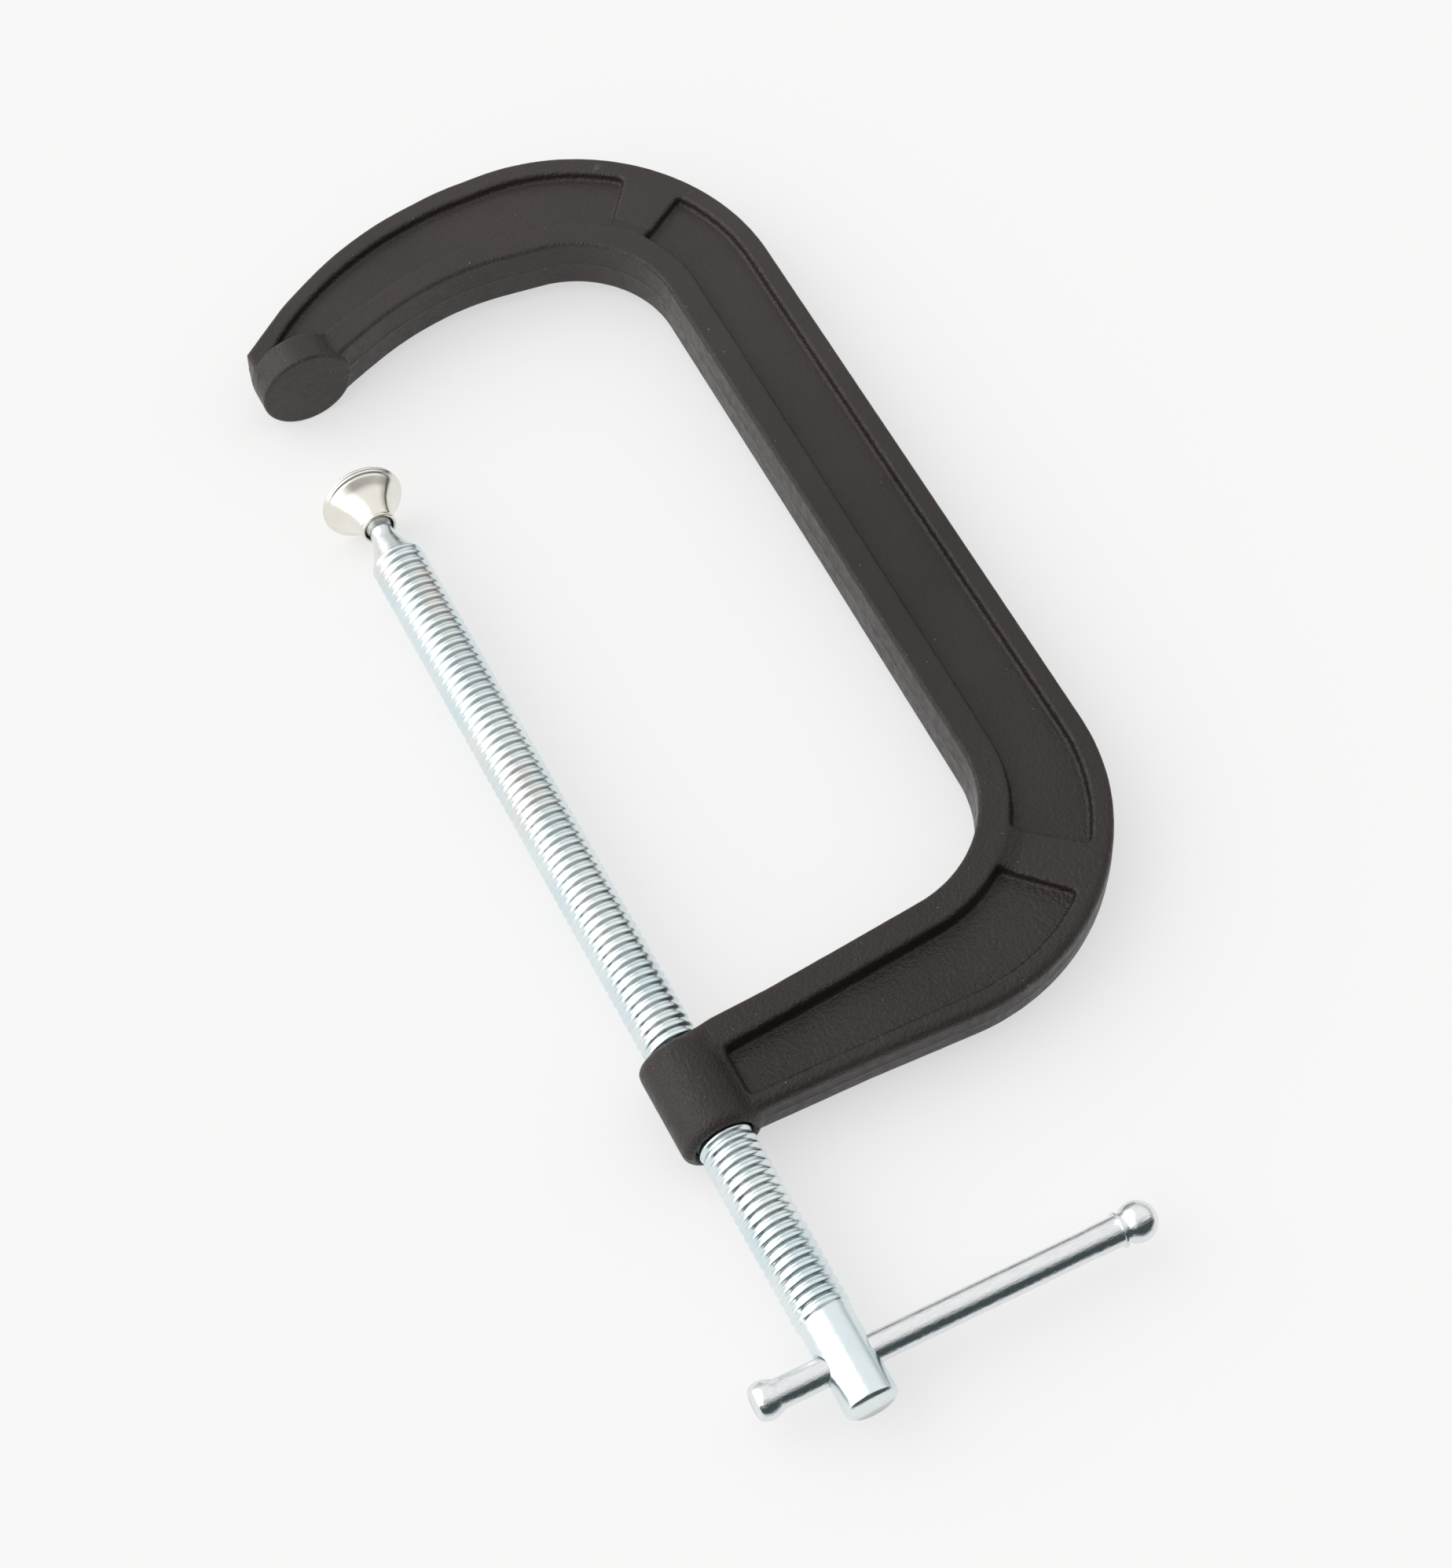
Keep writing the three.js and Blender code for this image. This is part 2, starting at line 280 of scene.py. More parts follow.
def surface_net(field, axes):
    """Vertices and quads of the zero surface of a field sampled on a box grid."""
    inside = field < 0
    n = [s - 1 for s in field.shape]
    count = sum(inside[i:i + n[0], j:j + n[1], k:k + n[2]].astype(np.int8) for i, j, k in CORNERS)
    cell = np.nonzero((count > 0) & (count < 8))
    total = np.zeros((len(cell[0]), 3))
    hits = np.zeros(len(cell[0]))
    for a, b in EDGES:
        fa = field[cell[0] + a[0], cell[1] + a[1], cell[2] + a[2]]
        fb = field[cell[0] + b[0], cell[1] + b[1], cell[2] + b[2]]
        crossed = (fa < 0) != (fb < 0)
        t = np.where(crossed, fa / np.where(crossed, fa - fb, 1), 0)
        for m in range(3):
            total[:, m] += np.where(crossed, a[m] + t * (b[m] - a[m]), 0)
        hits += crossed
    place = np.stack(cell, 1) + total / hits[:, None]
    verts = np.stack([np.interp(place[:, m], np.arange(len(axes[m])), axes[m]) for m in range(3)], 1)
    number = np.full(n, -1, np.int32)
    number[cell] = np.arange(len(cell[0]))
    quads = []
    for m in range(3):
        u, v = (m + 1) % 3, (m + 2) % 3
        low = np.take(inside, np.arange(n[m]), axis=m)
        high = np.take(inside, np.arange(1, n[m] + 1), axis=m)
        at = np.stack(np.nonzero(low != high), 1)
        at = at[(at[:, u] > 0) & (at[:, v] > 0) & (at[:, u] < n[u]) & (at[:, v] < n[v])]
        ring = []
        for du, dv in ((-1, -1), (0, -1), (0, 0), (-1, 0)):
            c = at.copy()
            c[:, u] += du
            c[:, v] += dv
            ring.append(number[c[:, 0], c[:, 1], c[:, 2]])
        quad = np.stack(ring, 1)
        outward = low[at[:, 0], at[:, 1], at[:, 2]]
        quads.append(np.where(outward[:, None], quad, quad[:, ::-1]))
    return verts, np.vstack(quads)


def sample(field, axes, points):
    """Field value at each point, from the grid round it."""
    value = np.zeros(len(points))
    cell, part = [], []
    for m in range(3):
        g = np.interp(points[:, m], axes[m], np.arange(len(axes[m])))
        c = np.clip(g.astype(int), 0, len(axes[m]) - 2)
        cell.append(c)
        part.append(g - c)
    for corner in CORNERS:
        weight = 1.0
        for m in range(3):
            weight = weight * (part[m] if corner[m] else 1 - part[m])
        value += weight * field[cell[0] + corner[0], cell[1] + corner[1], cell[2] + corner[2]]
    return value


def slope(field, axes, points, reach):
    """Unit direction in which the field grows at each point."""
    g = np.zeros((len(points), 3))
    for m in range(3):
        shift = np.zeros(3)
        shift[m] = reach
        g[:, m] = sample(field, axes, points + shift) - sample(field, axes, points - shift)
    return g / np.maximum(np.linalg.norm(g, axis=1), 1e-9)[:, None]


# ---------------------------------------------------------------- mesh helpers
def new_piece(name, verts, faces, body, nodes, material):
    """A smooth-shaded piece in metres from millimetre vertices."""
    mesh = bpy.data.meshes.new(name)
    mesh.from_pydata((np.asarray(verts) * MM).tolist(), [], [list(f) for f in faces])
    mesh.update()
    mesh.polygons.foreach_set("use_smooth", [True] * len(mesh.polygons))
    piece = bpy.data.objects.new(name, mesh)
    bpy.context.scene.collection.objects.link(piece)
    mesh.materials.append(material)
    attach(piece, body)
    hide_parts(*nodes)
    return piece


def turned(profile, segments, direction="x"):
    """Vertices and faces turned about the X or Y axis from [along, radius] points.

    The points start and end on the axis, or they close on themselves.
    """
    p = np.array(profile, float)
    a = np.arange(segments) * 2 * math.pi / segments
    closed = p[0, 1] > 0
    rings = p if closed else p[1:-1]
    along = np.repeat(rings[:, 0], segments)
    c = np.outer(rings[:, 1], np.cos(a)).ravel()
    s = np.outer(rings[:, 1], np.sin(a)).ravel()
    verts = np.stack([along, c, s], 1)
    faces = []
    for i in range(len(rings) if closed else len(rings) - 1):
        k = (i + 1) % len(rings)
        for j in range(segments):
            m = (j + 1) % segments
            faces.append((i * segments + j, i * segments + m, k * segments + m, k * segments + j))
    if not closed:
        verts = np.vstack([verts, [p[0, 0], 0, 0], [p[-1, 0], 0, 0]])
        first, last, top = len(verts) - 2, len(verts) - 1, (len(rings) - 1) * segments
        for j in range(segments):
            m = (j + 1) % segments
            faces.append((first, m, j))
            faces.append((last, top + j, top + m))
    if direction == "y":
        verts = verts[:, [2, 0, 1]]
    return verts, faces


# ---------------------------------------------------------------- materials
class Nodes:
    """A short way to build a material's nodes."""

    def __init__(self, name):
        self.material = bpy.data.materials.new(name)
        self.material.use_nodes = True
        self.tree = self.material.node_tree
        self.shader = self.tree.nodes["Principled BSDF"]
        self.place = self.tree.nodes.new("ShaderNodeTexCoord").outputs["Object"]

    def link(self, a, b):
        """Links an output to an input."""
        self.tree.links.new(a, b)

    def stretched(self, x, y, z):
        """Object coordinates scaled along each axis."""
        n = self.tree.nodes.new("ShaderNodeMapping")
        n.inputs["Scale"].default_value = (x, y, z)
        self.link(self.place, n.inputs["Vector"])
        return n.outputs["Vector"]

    def noise(self, scale, detail=2.0, rough=0.5, vector=None):
        """Noise of 0..1, with its scale in waves per metre."""
        n = self.tree.nodes.new("ShaderNodeTexNoise")
        n.inputs["Scale"].default_value = scale
        n.inputs["Detail"].default_value = detail
        n.inputs["Roughness"].default_value = rough
        self.link(vector or self.place, n.inputs["Vector"])
        return n.outputs["Fac"]

    def range(self, value, a, b, low, high):
        """Maps a..b to low..high, clamped."""
        n = self.tree.nodes.new("ShaderNodeMapRange")
        for key, number in (("From Min", a), ("From Max", b), ("To Min", low), ("To Max", high)):
            n.inputs[key].default_value = number
        self.link(value, n.inputs["Value"])
        return n.outputs["Result"]

    def math(self, operation, a, b):
        """One operation on two values, each a number or an output."""
        n = self.tree.nodes.new("ShaderNodeMath")
        n.operation = operation
        for socket, value in zip(n.inputs, (a, b)):
            if isinstance(value, (int, float)):
                socket.default_value = value
            else:
                self.link(value, socket)
        return n.outputs["Value"]

    def mix(self, factor, a, b):
        """Mixes two colours by a factor."""
        n = self.tree.nodes.new("ShaderNodeMix")
        n.data_type = "RGBA"
        self.link(factor, n.inputs["Factor"])
        for socket, value in ((n.inputs[6], a), (n.inputs[7], b)):
            if isinstance(value, tuple):
                socket.default_value = (*value, 1)
            else:
                self.link(value, socket)
        return n.outputs[2]

    def axis(self, source, name):
        """One axis of the object coordinates or of the normal."""
        coordinates = self.tree.nodes.new("ShaderNodeTexCoord")
        n = self.tree.nodes.new("ShaderNodeSeparateXYZ")
        self.link(coordinates.outputs[source], n.inputs["Vector"])
        return n.outputs[name]

    def pointiness(self):
        """How convex the surface is: over 0.5 on edges."""
        return self.tree.nodes.new("ShaderNodeNewGeometry").outputs["Pointiness"]

    def bump(self, height, distance, strength=1.0, normal=None):
        """Normals of a relief of the given height in metres, laid over any earlier one."""
        n = self.tree.nodes.new("ShaderNodeBump")
        n.inputs["Distance"].default_value = distance
        if isinstance(strength, float):
            n.inputs["Strength"].default_value = strength
        else:
            self.link(strength, n.inputs["Strength"])
        self.link(height, n.inputs["Height"])
        if normal:
            self.link(normal, n.inputs["Normal"])
        return n.outputs["Normal"]

    def finish(self, colour, roughness, normal, metallic):
        """Links the shader's sockets and returns the material."""
        s = self.shader.inputs
        s["Metallic"].default_value = metallic
        self.link(colour, s["Base Color"])
        self.link(roughness, s["Roughness"])
        self.link(normal, s["Normal"])
        return self.material


def frame_paint():
    """Semi-matt black-brown paint over a sand-cast skin, lighter along the edges with rubbed wear and a
    painted highlight.
    """
    n = Nodes("frame_paint")
    cloud = n.range(n.noise(38, 3), 0.3, 0.7, 0, 1)
    along = n.axis("Object", "X")
    # Painted light and shade on one paint: the arm end is painted lighter, the spine and lower arm are
    # painted darker.
    arm_lit_paint = n.mix(cloud, (0.0185, 0.0136, 0.0114), (0.0280, 0.0210, 0.0178))
    spine_shaded_paint = n.mix(cloud, (0.0095, 0.0063, 0.0051), (0.0160, 0.0112, 0.0092))
    colour = n.mix(n.range(along, 0.02, 0.10, 0, 1), arm_lit_paint, spine_shaded_paint)
    # Lighter along the edges: partly rubbed wear, partly a painted highlight on the rims.
    edge = n.range(n.pointiness(), 0.515, 0.62, 0, 1)
    patchy = n.range(n.noise(620, 4, 0.65), 0.44, 0.60, 0, 1)
    wear_and_painted_sheen = n.math("MULTIPLY", edge, patchy)
    colour = n.mix(wear_and_painted_sheen, colour, (0.085, 0.076, 0.066))
    speck = n.range(n.noise(1500, 1, 0.5), 0.795, 0.82, 0, 1)
    colour = n.mix(speck, colour, (0.30, 0.29, 0.27))
    rough = n.range(n.noise(420, 3), 0.3, 0.7, 0.30, 0.46)
    pebble = n.noise(1150, 3, 0.55)
    grain = n.noise(3200, 2, 0.5)
    upward = n.axis("Normal", "Z")
    off_flats = n.range(upward, 0.90, 0.99, 1.0, 0.0)
    on_flats = n.range(along, 0.15, 0.23, 0.32, 0.95)
    flats = n.math("MAXIMUM", off_flats, on_flats)
    level = n.math("MULTIPLY", flats, n.range(upward, 0.05, 0.35, 0.35, 1.0))
    normal = n.bump(pebble, 0.00050, level)
    normal = n.bump(grain, 0.00010, normal=normal)
    n.shader.inputs["Specular IOR Level"].default_value = 0.40
    return n.finish(colour, rough, normal, 0.0)


def zinc():
    """Bright zinc plate with a cool tint, faintly iridescent here and there."""
    n = Nodes("spindle_zinc")
    tint = n.range(n.noise(70, 3), 0.35, 0.65, 0, 1)
    colour = n.mix(tint, (0.70, 0.80, 0.83), (0.80, 0.86, 0.87))
    film = n.range(n.noise(45, 2, vector=n.stretched(0.5, 1.6, 1.6)), 0.60, 0.72, 0, 0.5)
    colour = n.mix(film, colour, (0.80, 0.74, 0.68))
    rough = n.range(n.noise(600, 3), 0.3, 0.7, 0.17, 0.29)
    normal = n.bump(n.noise(900, 3, vector=n.stretched(0.35, 1, 1)), 0.00002)
    return n.finish(colour, rough, normal, 1.0)


def steel():
    """Smooth turned steel."""
    n = Nodes("ball_steel")
    colour = n.mix(n.range(n.noise(300, 3), 0.3, 0.7, 0, 1), (0.50, 0.51, 0.50), (0.62, 0.62, 0.60))
    rough = n.range(n.noise(700, 3), 0.3, 0.7, 0.25, 0.40)
    return n.finish(colour, rough, n.bump(n.noise(1500, 2), 0.00001), 1.0)


def nickel():
    """Polished nickel plate with a warm tint."""
    n = Nodes("pad_nickel")
    colour = n.mix(n.range(n.noise(90, 3), 0.3, 0.7, 0, 1), (0.80, 0.77, 0.69), (0.86, 0.84, 0.79))
    rough = n.range(n.noise(500, 3), 0.3, 0.7, 0.12, 0.22)
    return n.finish(colour, rough, n.bump(n.noise(700, 3), 0.000012), 1.0)


def chrome():
    """Bright plate over a drawn bar, with fine broken scratches along it."""
    n = Nodes("bar_chrome")
    lines = n.noise(260, 4, 0.7, vector=n.stretched(9, 1.3, 9))
    colour = n.mix(n.range(lines, 0.35, 0.65, 0, 1), (0.74, 0.77, 0.79), (0.83, 0.85, 0.86))
    nicks = n.noise(1500, 3, 0.6, vector=n.stretched(1.4, 0.5, 1.4))
    rough = n.range(nicks, 0.35, 0.7, 0.07, 0.20)
    normal = n.bump(lines, 0.00004)
    normal = n.bump(nicks, 0.00006, normal=normal)
    return n.finish(colour, rough, normal, 1.0)


# ---------------------------------------------------------------- pieces
def thinned(piece):
    """Mesh of the piece with no more triangles than the limit."""
    triangles = 2 * len(piece.data.polygons)
    if triangles <= MAX_TRIANGLES:
        return piece.data
    thin = piece.modifiers.new("thin", "DECIMATE")
    thin.ratio = MAX_TRIANGLES / triangles
    depsgraph = bpy.context.evaluated_depsgraph_get()
    mesh = bpy.data.meshes.new_from_object(piece.evaluated_get(depsgraph))
    piece.modifiers.clear()
    return mesh


def build_frame(material):
    """Casting, netted over a grid of its field and then drawn onto the field itself."""
    h = GRID
    lo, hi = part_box("frame")
    xs = np.arange(lo[0] / MM - 2 * h, hi[0] / MM + 2 * h, h)
    ys = np.arange(lo[1] / MM - 2 * h, hi[1] / MM + 2 * h, h)
    # The grid is finer near the parting plane, for the flash.
    fine = np.arange(0, 1.5, h / 2)
    half = np.concatenate([fine, np.arange(fine[-1] + h, hi[2] / MM + 2 * h, h)])
    x, y = (g[:, :, None] for g in np.meshgrid(xs, ys, indexing="ij"))
    upper = frame_field(x, y, half[None, None, :]).astype(np.float32)
    field = np.concatenate([upper[:, :, :0:-1], upper], axis=2)
    axes = (xs, ys, np.concatenate([-half[:0:-1], half]))
    verts, faces = surface_net(field, axes)
    piece = new_piece("cast_frame", verts, faces, "frame", ["frame"], material)
    mesh = piece.data = thinned(piece)

    points = np.empty(len(mesh.vertices) * 3)
    mesh.vertices.foreach_get("co", points)
    points = points.reshape(-1, 3) / MM
    farthest, reach, span = 0.3, 0.35, 0.15
    for _ in range(2):
        off = np.clip(frame_field(*points.T), -farthest, farthest)
        points = points - off[:, None] * slope(field, axes, points, reach)
    mesh.vertices.foreach_set("co", (points * MM).ravel())

    near = frame_field(*points.T)
    normals = np.stack([frame_field(*(points + shift).T) - near for shift in np.eye(3) * span], 1)
    normals /= np.maximum(np.linalg.norm(normals, axis=1), 1e-9)[:, None]
    mesh.polygons.foreach_set("use_smooth", [True] * len(mesh.polygons))
    mesh.normals_split_custom_set_from_vertices(normals.tolist())


def screw_shank():
    """Vertices and faces of the journal, neck and thread, open at the head's end, and that end's X."""
    s, segments = SCREW, SEGMENTS["screw"]
    journal = np.array([(-2.2, 2.0), (-1.8, 2.4), (3.7, 2.4), (3.75, 3.0)]) + [PAD["x"], 0]
    neck = smooth([
        (50.8, 3.15), (51.8, 3.2), (53.0, 3.38), (54.4, 3.75), (55.8, 4.25), (57.2, 4.8),
        (58.6, 5.4), (59.9, 6.1), (61.0, 6.75), (s["start"], s["r"]),
    ], 30)
    thread_x = np.arange(s["start"] + 0.12, s["end"] + 1.6, s["pitch"] / PER_PITCH)
    join_x = thread_x[-1] + 0.4
    x = np.concatenate([journal[:, 0], neck[:, 0], thread_x, [join_x]])
    core = HEAD["r"] + (s["r"] - HEAD["r"]) * step((s["end"] + 0.6 - thread_x) / 1.6)
    base = np.concatenate([journal[:, 1], neck[:, 1], core, [HEAD["r"]]])

    # The thread grows in over the first turn and runs out before the head.
    fade = [s["start"] - 1.6, s["start"] + 1.6, s["end"] - 2.5, s["end"] + 1.0]
    depth = np.interp(x, fade, [0, 1, 1, 0]) * s["depth"]
    a = np.arange(segments) * 2 * math.pi / segments
    phase = (x[:, None] - s["pitch"] * a[None, :] / (2 * math.pi)) / s["pitch"]
    valley = (0.5 - 0.5 * np.cos(2 * math.pi * phase)) ** s["valley"]
    r = base[:, None] - depth[:, None] * valley
    verts = np.stack([np.repeat(x, segments), (r * np.cos(a)).ravel(), (r * np.sin(a)).ravel()], 1)

    index = np.arange(len(x) * segments).reshape(len(x), segments)
    after = np.roll(index, -1, 1)
    quads = np.stack([index[:-1], after[:-1], after[1:], index[1:]], 2).reshape(-1, 4)[:, ::-1]
    tip = len(verts)
    verts = np.vstack([verts, [x[0], 0, 0]])
    return verts, quads.tolist() + [[tip, index[0, j], after[0, j]] for j in range(segments)], join_x


def screw_head(join_x):
    """Vertices and faces of the head before it is drilled, with its end rounded off."""
    end, r = HEAD["end"], HEAD["r"]
    round_off = np.linspace(0, 1.2, 7)
    edge = [(end - 1.3 + 1.0 * math.sin(t), r - 0.9 + 0.9 * math.cos(t)) for t in round_off]
    side = [(t, r) for t in np.linspace(join_x, end - 1.5, 26)]
    profile = [(join_x, 0)] + side + edge + [(end, r - 1.15), (end, 0)]
    return turned(profile, SEGMENTS["screw"])


def cross_hole():
    """Vertices and faces of the drill through the head, flared where it comes out."""
    r = HEAD["hole_r"]
    flare = [(7.5, 0.62), (6.9, 0.5), (6.3, 0.28), (5.7, 0.1), (5.2, 0.0)]
    profile = [(9, 0), (9, r + 1.4)] + [(y, r + grow) for y, grow in flare]
    profile += [(-y, radius) for y, radius in reversed(profile)]
    verts, faces = turned(profile[::-1], SEGMENTS["hole"], "y")
    return verts + [HEAD["hole_x"], 0, 0], faces


def outward_object(name, verts, faces):
    """An object in metres from millimetre vertices, with its faces turned outward."""
    mesh = bpy.data.meshes.new(name)
    mesh.from_pydata((verts * MM).tolist(), [], [list(f) for f in faces])
    b = bmesh.new()
    b.from_mesh(mesh)
    bmesh.ops.recalc_face_normals(b, faces=b.faces)
    b.to_mesh(mesh)
    b.free()
    item = bpy.data.objects.new(name, mesh)
    bpy.context.scene.collection.objects.link(item)
    return item


def build_spindle(material):
    """Threaded shank, with its head drilled apart from it and sewn on along their shared ring."""
    verts, faces, join = screw_shank()
    piece = new_piece("feed_screw", verts, faces, "spindle", ["spindle"], material)

    blank = outward_object("head_blank", *screw_head(join))
    cutter = outward_object("hole_cutter", *cross_hole())
    cut = blank.modifiers.new("hole", "BOOLEAN")
    cut.operation = "DIFFERENCE"
    cut.solver = "EXACT"
    cut.object = cutter
    depsgraph = bpy.context.evaluated_depsgraph_get()
    drilled = bpy.data.meshes.new_from_object(blank.evaluated_get(depsgraph))
    bpy.data.objects.remove(blank)
    bpy.data.objects.remove(cutter)

    b = bmesh.new()
    b.from_mesh(piece.data)
    join_x = max(v.co.x for v in b.verts)
    b.from_mesh(drilled)
    b.faces.ensure_lookup_table()
    same = 1e-6
    caps = [f for f in b.faces if all(abs(v.co.x - join_x) < same for v in f.verts)]
    bmesh.ops.delete(b, geom=caps, context="FACES")
    loose = [v for v in b.verts if not v.link_faces]
    bmesh.ops.delete(b, geom=loose, context="VERTS")
    ring = [v for v in b.verts if abs(v.co.x - join_x) < same]
    bmesh.ops.remove_doubles(b, verts=ring, dist=2 * same)
    bmesh.ops.recalc_face_normals(b, faces=b.faces)
    for f in b.faces:
        f.smooth = True
    b.to_mesh(piece.data)
    b.free()
    piece.data.set_sharp_from_angle(angle=math.radians(38))


def build_pad(material):
    """Pressed pad: a bell-shaped shell rolled in round the ball, and the flat face in its rim."""
    shell = [
        (-8.9, 9.7), (-9.14, 10.0), (-9.14, 10.4), (-8.9, 10.85), (-8.5, 11.0), (-8.16, 10.9),
        (-8.0, 10.64), (-7.8, 10.6), (-7.55, 10.5), (-7.42, 10.2), (-7.25, 9.95), (-6.9, 9.8),
        (-6.5, 9.4), (-5.95, 8.8), (-5.2, 8.0), (-4.3, 7.3), (-3.2, 6.65), (-1.9, 6.1),
        (-0.5, 5.62), (0.7, 5.25), (1.6, 4.95), (2.05, 4.75), (2.35, 4.72), (2.8, 4.84),
        (3.12, 4.8), (3.3, 4.58), (3.32, 4.25), (3.1, 4.0), (2.7, 3.92), (2.1, 4.15),
        (0.8, 4.8), (-1.2, 5.2), (-3.2, 5.75), (-4.6, 6.6), (-6.0, 7.9), (-7.0, 9.1), (-7.8, 9.65),
    ]
    face = [
        (-9.45, 0), (-9.45, 4), (-9.45, 8.5), (-9.38, 8.95), (-9.15, 9.3), (-8.75, 9.5),
        (-8.35, 9.5), (-7.95, 9.45), (-7.95, 4), (-7.95, 0),
    ]
    shell = smooth(shell + shell[:1], 110)[:-1]
    turn = np.array(Matrix.Rotation(math.radians(-PAD["droop"]), 3, "Y"))
    for name, node, profile in (
        ("swivel_pad_shell", "pad_shell", shell), ("swivel_pad_face", "pad_face", face),
    ):
        verts, faces = turned(profile, SEGMENTS["pad"])
        verts = verts @ turn.T + [PAD["x"], 0, 0]
        new_piece(name, verts, faces, "swivel_pad", [node], material)


def build_ball(material):
    """Ball formed on the spindle's tip, bored to sit round the journal."""
    r, bore = PAD["ball_r"], PAD["bore"]
    end = math.acos(bore / r)
    ball = [(r * math.sin(t), r * math.cos(t)) for t in np.linspace(-math.pi / 2, end, 48)[1:]]
    profile = [(-r, 0)] + ball + [(2.0, bore), (-2.4, bore), (-2.5, bore - 0.1), (-2.5, 0)]
    verts, faces = turned(profile, SEGMENTS["ball"])
    verts = verts + [PAD["x"], 0, 0]
    new_piece("spindle_ball_end", verts, faces, "ball_end", ["spindle_ball"], material)


def build_bar(material):
    """Sliding cross bar with a ball upset on one end and a flat head on the other."""
    y0, y1, r, ball_r = BAR["y0"], BAR["y1"], BAR["r"], BAR["ball_r"]
    centre = y1 - ball_r
    head = [
        (0, 0), (0, 3.4), (0.12, 3.75), (0.5, 4.15), (1.3, 4.55), (2.4, 4.75), (3.4, 4.7),
        (4.4, 4.5), (5.3, 4.15), (5.9, 3.85), (6.5, 3.68), (7.4, r),
    ]
    collar = [
        (11.6, 0.06), (10.9, 0.14), (8, 0.14), (5.2, 0.16), (4.98, 0.26), (4.9, 0.72),
        (4.6, 0.82), (4.3, 0.72), (4.15, 0.2),
    ]
    ball = [(centre + ball_r * math.sin(t), ball_r * math.cos(t))
            for t in np.radians(np.linspace(-41, 84, 26))]
    profile = [(y0 + along, radius) for along, radius in head]
    profile += [(y, r) for y in np.linspace(y0 + 9, centre - 12.6, 30)]
    profile += [(centre - back, r + grow) for back, grow in collar]
    profile += ball + [(y1, 0)]
    verts, faces = turned(profile, SEGMENTS["bar"], "y")
    verts = verts + [HEAD["hole_x"], 0, 0]
    piece = new_piece("sliding_bar", verts, faces, "handle", ["handle_bar"], material)
    piece.data.set_sharp_from_angle(angle=math.radians(50))


# ---------------------------------------------------------------- stage, light and camera
FLOOR_Z = -12.5 * MM
FLOOR_SIZE = 6.0        # from the middle to each side, in metres


def stage_sheet(name, corners, material_name, grey, glow_colour, glow):
    """A matt sheet of the stage with four corners in metres, partly self-lit."""
    mesh = bpy.data.meshes.new(name)
    mesh.from_pydata(corners, [], [(0, 1, 2, 3)])
    sheet = bpy.data.objects.new(name, mesh)
    bpy.context.scene.collection.objects.link(sheet)
    material = bpy.data.materials.new(material_name)
    material.use_nodes = True
    s = material.node_tree.nodes["Principled BSDF"].inputs
    s["Base Color"].default_value = (grey, grey, grey, 1)
    s["Roughness"].default_value = 1.0
    s["Specular IOR Level"].default_value = 0.0
    s["Emission Color"].default_value = (*glow_colour, 1)
    s["Emission Strength"].default_value = glow
    mesh.materials.append(material)
    return sheet


def build_floor():
    """Plain pale floor that the clamp lies on."""
    size, z = FLOOR_SIZE, FLOOR_Z
    corners = [(-size, -size, z), (size, -size, z), (size, size, z), (-size, size, z)]
    stage_sheet("floor", corners, "pale_floor", 0.30, (1.0, 1.0, 1.0), 0.58)


def build_world():
    """Soft overhead brightness, stronger from the -Y side."""
    world = bpy.data.worlds.new("studio")
    bpy.context.scene.world = world
    world.use_nodes = True
    tree = world.node_tree
    background = tree.nodes["Background"]
    place = tree.nodes.new("ShaderNodeTexCoord")
    split = tree.nodes.new("ShaderNodeSeparateXYZ")
    tree.links.new(place.outputs["Generated"], split.inputs["Vector"])

    def rise(value, a, b, low, high):
        n = tree.nodes.new("ShaderNodeMapRange")
        n.interpolation_type = "SMOOTHSTEP"
        for key, number in (("From Min", a), ("From Max", b), ("To Min", low), ("To Max", high)):
            n.inputs[key].default_value = number
        tree.links.new(value, n.inputs["Value"])
        return n.outputs["Result"]

    overhead = rise(split.outputs["Z"], 0.0, 0.55, 0.50, 1.0)
    left = rise(split.outputs["Y"], -0.85, -0.15, 1.3, 0.0)
    ahead = rise(split.outputs["X"], 0.10, 0.75, 1.0, 0.38)
    level = tree.nodes.new("ShaderNodeMath")
    level.operation = "MULTIPLY_ADD"
    for socket, value in zip(level.inputs, (overhead, ahead, left)):
        tree.links.new(value, socket)
    tree.links.new(level.outputs["Value"], background.inputs["Strength"])
    background.inputs["Color"].default_value = (1.0, 0.99, 0.98, 1)


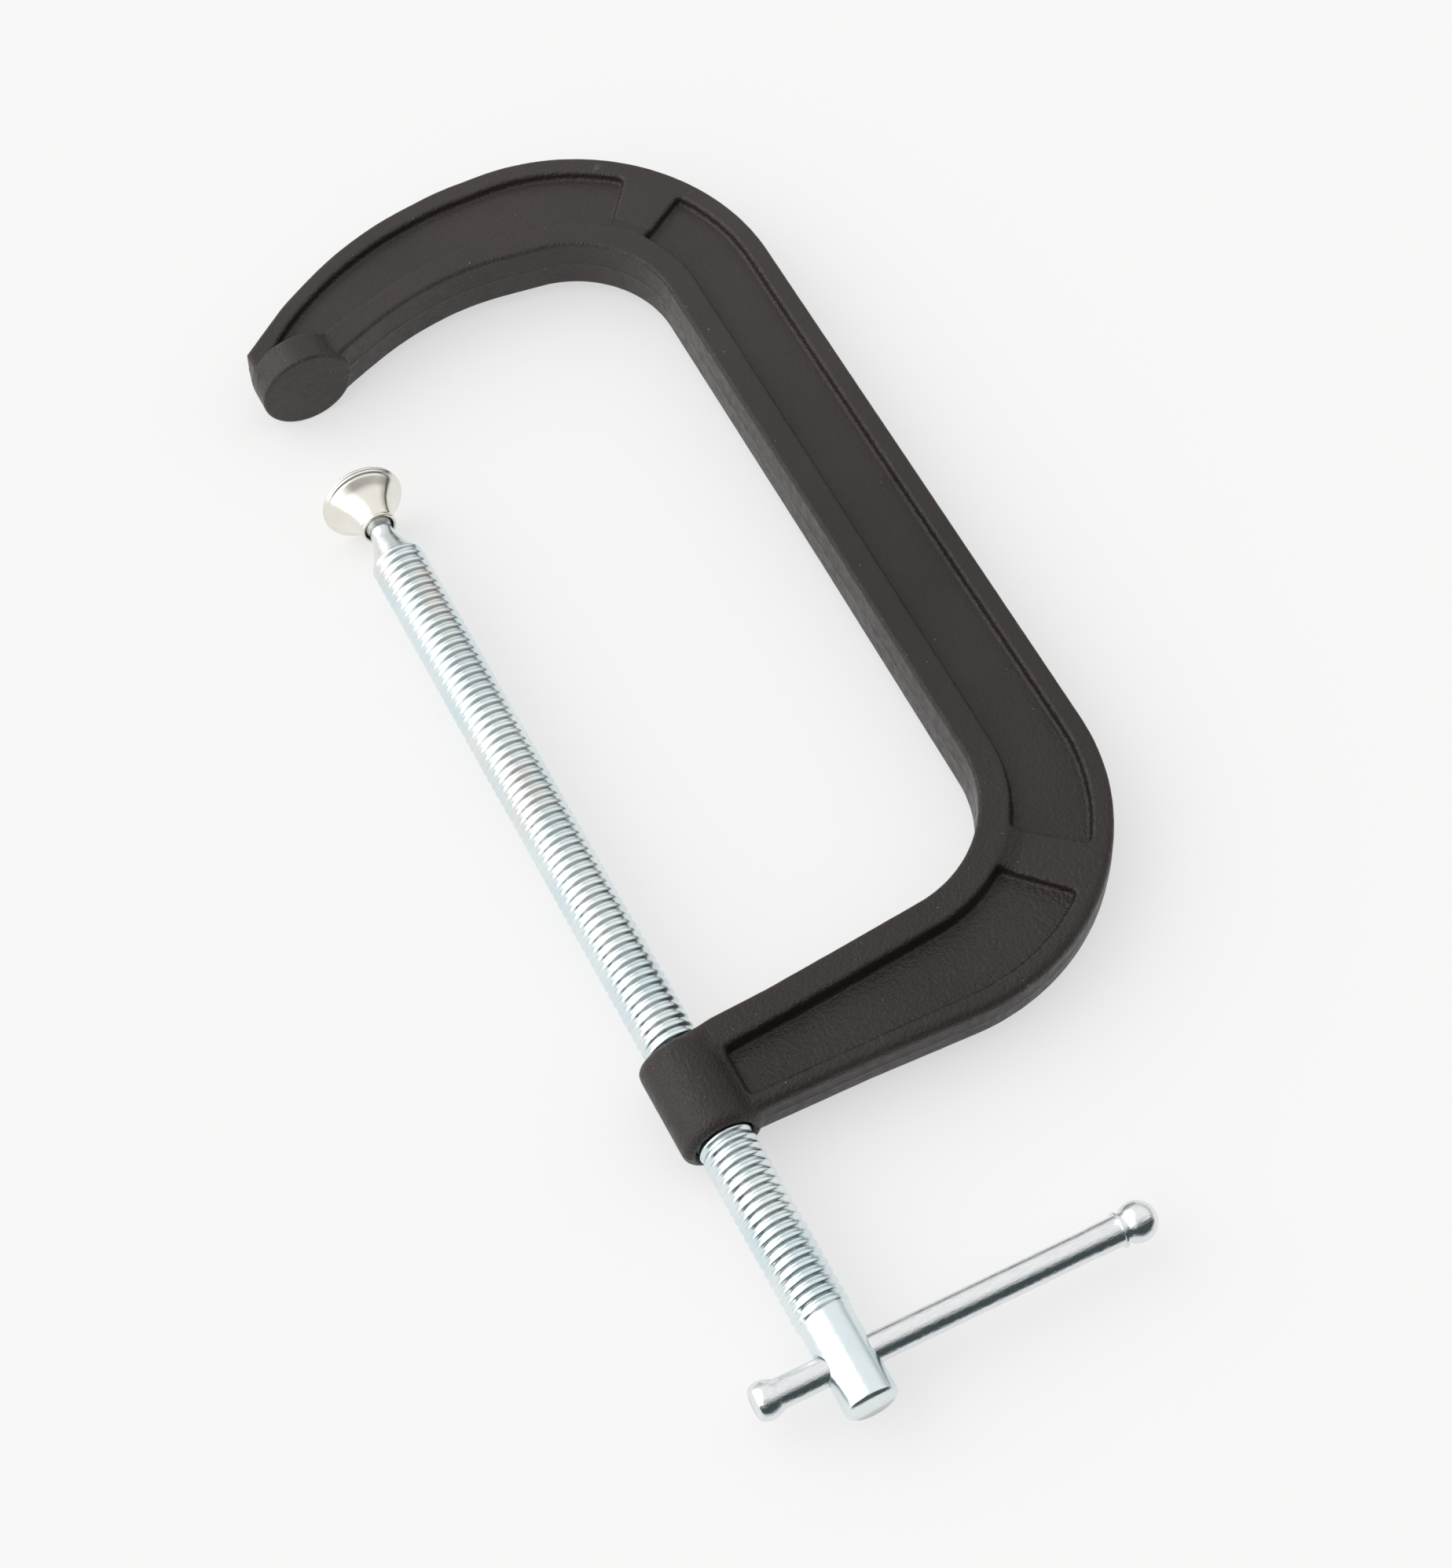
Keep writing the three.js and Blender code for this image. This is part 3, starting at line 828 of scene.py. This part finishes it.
def build_card():
    """Dark card that stands off the handle's end of the floor and is seen only in reflections."""
    x, y0, y1, z = 0.352, -0.16, 0.24, 0.050
    corners = [(x, y0, FLOOR_Z), (x, y1, FLOOR_Z), (x, y1, z), (x, y0, z)]
    card = stage_sheet("dark_card", corners, "dark_card", 0.0, (0.75, 1.0, 1.05), 0.08)
    card.visible_camera = card.visible_diffuse = card.visible_shadow = False


def add_sun(name, direction, strength, angle):
    """A distant soft light from the given direction, with its angular size in degrees."""
    light = bpy.data.lights.new(name, "SUN")
    light.energy = strength
    light.angle = math.radians(angle)
    lamp = bpy.data.objects.new(name, light)
    bpy.context.scene.collection.objects.link(lamp)
    d = np.array(direction, float)
    d /= np.linalg.norm(d)
    side = np.cross([0, 0, 1.0], d)
    side /= np.linalg.norm(side)
    up = np.cross(d, side)
    lamp.matrix_world = Matrix([[side[i], up[i], d[i], 0] for i in range(3)] + [[0, 0, 0, 1]])


def build_camera():
    """Camera that looks down on the clamp from beyond the handle's end."""
    azimuth, elevation, roll = (math.radians(t) for t in (153.42713, 58.43021, -0.47452))
    level = math.cos(elevation)
    forward = np.array([math.cos(azimuth) * level, math.sin(azimuth) * level, -math.sin(elevation)])
    right = np.cross(forward, [0, 0, 1.0])
    right /= np.linalg.norm(right)
    up = np.cross(right, forward)
    c, s = math.cos(roll), math.sin(roll)
    right, up = c * right + s * up, -s * right + c * up
    data = bpy.data.cameras.new("camera")
    data.lens = 84.31
    data.sensor_width = 36.0
    data.clip_end = 50.0
    camera = bpy.data.objects.new("camera", data)
    bpy.context.scene.collection.objects.link(camera)
    place = (584.5 * MM, -167.9 * MM, 773.3 * MM)
    rows = [[right[i], up[i], -forward[i], place[i]] for i in range(3)]
    camera.matrix_world = Matrix(rows + [[0, 0, 0, 1]])
    bpy.context.scene.camera = camera


build_camera()
build_floor()
build_world()
build_card()
add_sun("key", (-0.75, -0.75, 1.0), 0.6, 60)
build_frame(frame_paint())
build_spindle(zinc())
build_pad(nickel())
build_ball(steel())
build_bar(chrome())
bpy.context.scene.view_settings.view_transform = "Standard"
